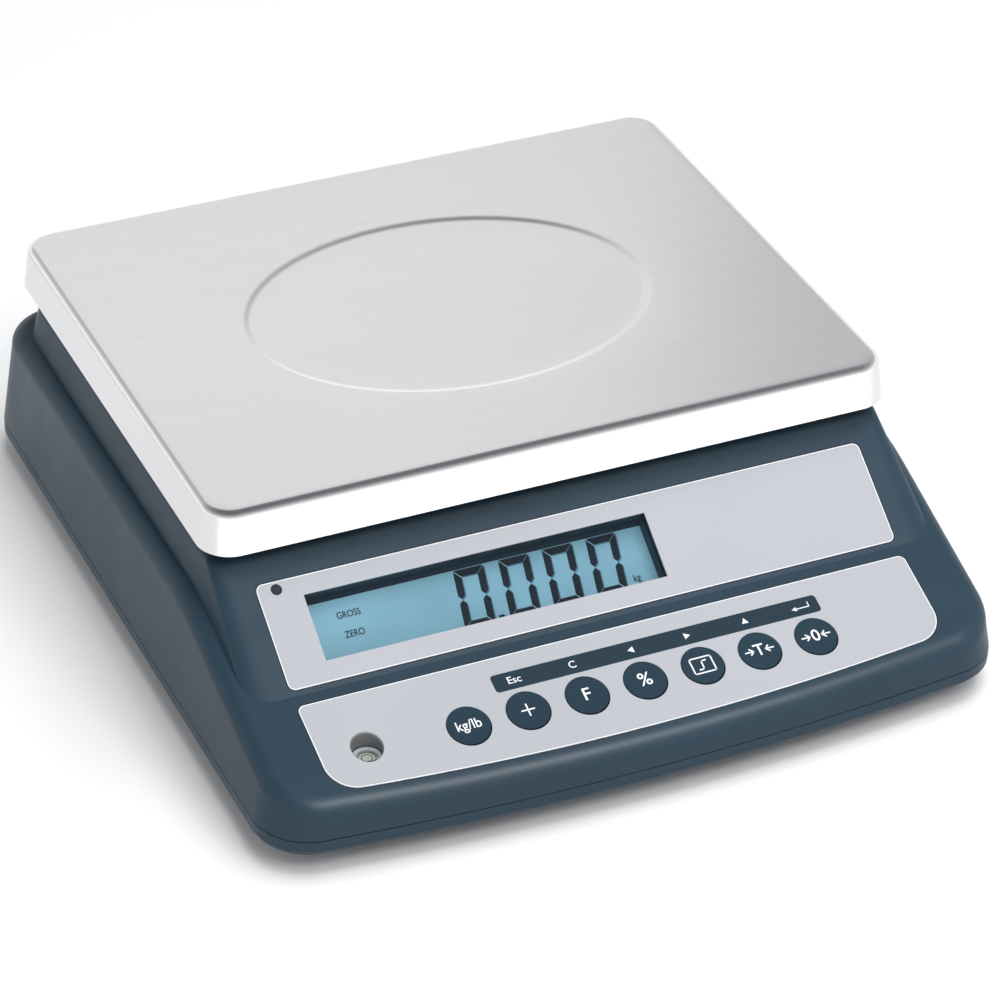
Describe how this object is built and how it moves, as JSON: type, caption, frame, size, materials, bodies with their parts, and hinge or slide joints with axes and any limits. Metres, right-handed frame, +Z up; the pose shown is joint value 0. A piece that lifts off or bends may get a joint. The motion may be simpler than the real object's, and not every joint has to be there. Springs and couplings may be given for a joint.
{
  "type": "counting scale",
  "caption": "Bench counting scale with a brushed steel pan over a two-tier plastic housing, a window display, a row of round keys and levelling feet.",
  "frame": {"origin": "middle of the footprint, on the surface that the feet stand on", "axes": "+Z up, -Y towards the operator, +X to the operator's right"},
  "size_m": [0.32, 0.346, 0.1065],
  "materials": {
    "housing": "satin moulded",
    "overlay": "printed film",
    "keys": "satin",
    "window": "clear",
    "lcd": "smooth",
    "backlight": "diffuse",
    "board": "solder mask",
    "components": "matte",
    "indicator": "tinted lens",
    "screws": "zinc plated",
    "studs": "zinc plated, knurled",
    "brass": "turned",
    "vial": "polished rim",
    "vial_liquid": "clear",
    "ribbon": "ribbed",
    "leads": "smooth sheath",
    "alloy": "machined",
    "rubber": "matte",
    "pan_steel": "long grain",
    "battery": "moulded case",
    "switch_plastic": "satin"
  },
  "bodies": {
    "root": {"bottom_tray": "housing", "top_housing": "housing", "display_overlay": "overlay", "key_overlay": "overlay", "display_window": "window", "lcd_panel": "lcd", "lcd_backlight": "backlight", "display_board": "board", "display_board_screws": "screws", "indicator_led": "indicator", "key_board": "board", "key_board_screws": "screws", "key_switches": "components", "level_vial": "vial", "vial_liquid_bubble": "vial_liquid", "main_board": "board", "board_components": "components", "board_screws": "screws", "buzzer": "components", "ribbon_cable": "ribbon", "load_cell": "alloy", "load_cell_pedestal": "alloy", "load_cell_lower_bolts": "screws", "load_cell_cable": "leads", "overload_stops": "screws", "battery": "battery", "battery_pad": "rubber", "battery_cover": "housing", "battery_cover_screws": "screws", "battery_leads": "leads", "power_switch_body": "switch_plastic", "dc_jack": "switch_plastic", "housing_screws": "screws", "foot_bushes": "brass"},
    "key_unit": {"key_unit": "keys"},
    "key_plus": {"key_plus": "keys"},
    "key_function": {"key_function": "keys"},
    "key_percent": {"key_percent": "keys"},
    "key_sample": {"key_sample": "keys"},
    "key_tare": {"key_tare": "keys"},
    "key_zero": {"key_zero": "keys"},
    "foot_pad_front_left": {"foot_pad_front_left": "rubber"},
    "foot_stud_front_left": {"foot_stud_front_left": "studs"},
    "foot_pad_front_right": {"foot_pad_front_right": "rubber"},
    "foot_stud_front_right": {"foot_stud_front_right": "studs"},
    "foot_pad_back_left": {"foot_pad_back_left": "rubber"},
    "foot_stud_back_left": {"foot_stud_back_left": "studs"},
    "foot_pad_back_right": {"foot_pad_back_right": "rubber"},
    "foot_stud_back_right": {"foot_stud_back_right": "studs"},
    "rocker": {"power_rocker": "switch_plastic"},
    "platform": {"platform_post": "alloy", "spider": "alloy", "spider_screws": "screws", "pan_buffers": "rubber", "load_cell_upper_bolts": "screws"},
    "pan": {"weighing_pan": "pan_steel"}
  },
  "joints": [
    {"name": "key_unit_press", "type": "slide", "parent": "root", "child": "key_unit", "axis": [0, 0.3256, -0.9455], "range_m": [0, 0.0008], "stiffness_N_per_m": 200, "springref_m": -0.002},
    {"name": "key_plus_press", "type": "slide", "parent": "root", "child": "key_plus", "axis": [0, 0.3256, -0.9455], "range_m": [0, 0.0008], "stiffness_N_per_m": 200, "springref_m": -0.002},
    {"name": "key_function_press", "type": "slide", "parent": "root", "child": "key_function", "axis": [0, 0.3256, -0.9455], "range_m": [0, 0.0008], "stiffness_N_per_m": 200, "springref_m": -0.002},
    {"name": "key_percent_press", "type": "slide", "parent": "root", "child": "key_percent", "axis": [0, 0.3256, -0.9455], "range_m": [0, 0.0008], "stiffness_N_per_m": 200, "springref_m": -0.002},
    {"name": "key_sample_press", "type": "slide", "parent": "root", "child": "key_sample", "axis": [0, 0.3256, -0.9455], "range_m": [0, 0.0008], "stiffness_N_per_m": 200, "springref_m": -0.002},
    {"name": "key_tare_press", "type": "slide", "parent": "root", "child": "key_tare", "axis": [0, 0.3256, -0.9455], "range_m": [0, 0.0008], "stiffness_N_per_m": 200, "springref_m": -0.002},
    {"name": "key_zero_press", "type": "slide", "parent": "root", "child": "key_zero", "axis": [0, 0.3256, -0.9455], "range_m": [0, 0.0008], "stiffness_N_per_m": 200, "springref_m": -0.002},
    {"name": "foot_travel_front_left", "type": "slide", "parent": "root", "child": "foot_pad_front_left", "axis": [0, 0, -1], "range_m": [0, 0.006]},
    {"name": "foot_turn_front_left", "type": "hinge", "parent": "foot_pad_front_left", "child": "foot_stud_front_left", "pos_m": [-0.128, -0.136, 0.012], "axis": [0, 0, 1], "range_deg": [0, 2163]},
    {"name": "foot_travel_front_right", "type": "slide", "parent": "root", "child": "foot_pad_front_right", "axis": [0, 0, -1], "range_m": [0, 0.006]},
    {"name": "foot_turn_front_right", "type": "hinge", "parent": "foot_pad_front_right", "child": "foot_stud_front_right", "pos_m": [0.128, -0.136, 0.012], "axis": [0, 0, 1], "range_deg": [0, 2163]},
    {"name": "foot_travel_back_left", "type": "slide", "parent": "root", "child": "foot_pad_back_left", "axis": [0, 0, -1], "range_m": [0, 0.006]},
    {"name": "foot_turn_back_left", "type": "hinge", "parent": "foot_pad_back_left", "child": "foot_stud_back_left", "pos_m": [-0.128, 0.138, 0.012], "axis": [0, 0, 1], "range_deg": [0, 2163]},
    {"name": "foot_travel_back_right", "type": "slide", "parent": "root", "child": "foot_pad_back_right", "axis": [0, 0, -1], "range_m": [0, 0.006]},
    {"name": "foot_turn_back_right", "type": "hinge", "parent": "foot_pad_back_right", "child": "foot_stud_back_right", "pos_m": [0.128, 0.138, 0.012], "axis": [0, 0, 1], "range_deg": [0, 2163]},
    {"name": "rocker_tilt", "type": "hinge", "parent": "root", "child": "rocker", "pos_m": [-0.07, 0.16709, 0.03777], "axis": [0, -0.229, 0.9734], "range_deg": [0, 18]},
    {"name": "platform_load", "type": "slide", "parent": "root", "child": "platform", "axis": [0, 0, -1], "range_m": [0, 0.0004], "stiffness_N_per_m": 150000, "springref_m": -0.0004, "deforming": ["load_cell"]},
    {"name": "pan_lift", "type": "slide", "parent": "platform", "child": "pan", "axis": [0, 0, 1], "range_m": [0, 0.06]}
  ],
  "couplings": [
    {"joint": "foot_turn_front_left", "follows": "foot_travel_front_left", "rad_per_m": 6283.2},
    {"joint": "foot_turn_front_right", "follows": "foot_travel_front_right", "rad_per_m": 6283.2},
    {"joint": "foot_turn_back_left", "follows": "foot_travel_back_left", "rad_per_m": 6283.2},
    {"joint": "foot_turn_back_right", "follows": "foot_travel_back_right", "rad_per_m": 6283.2}
  ]
}
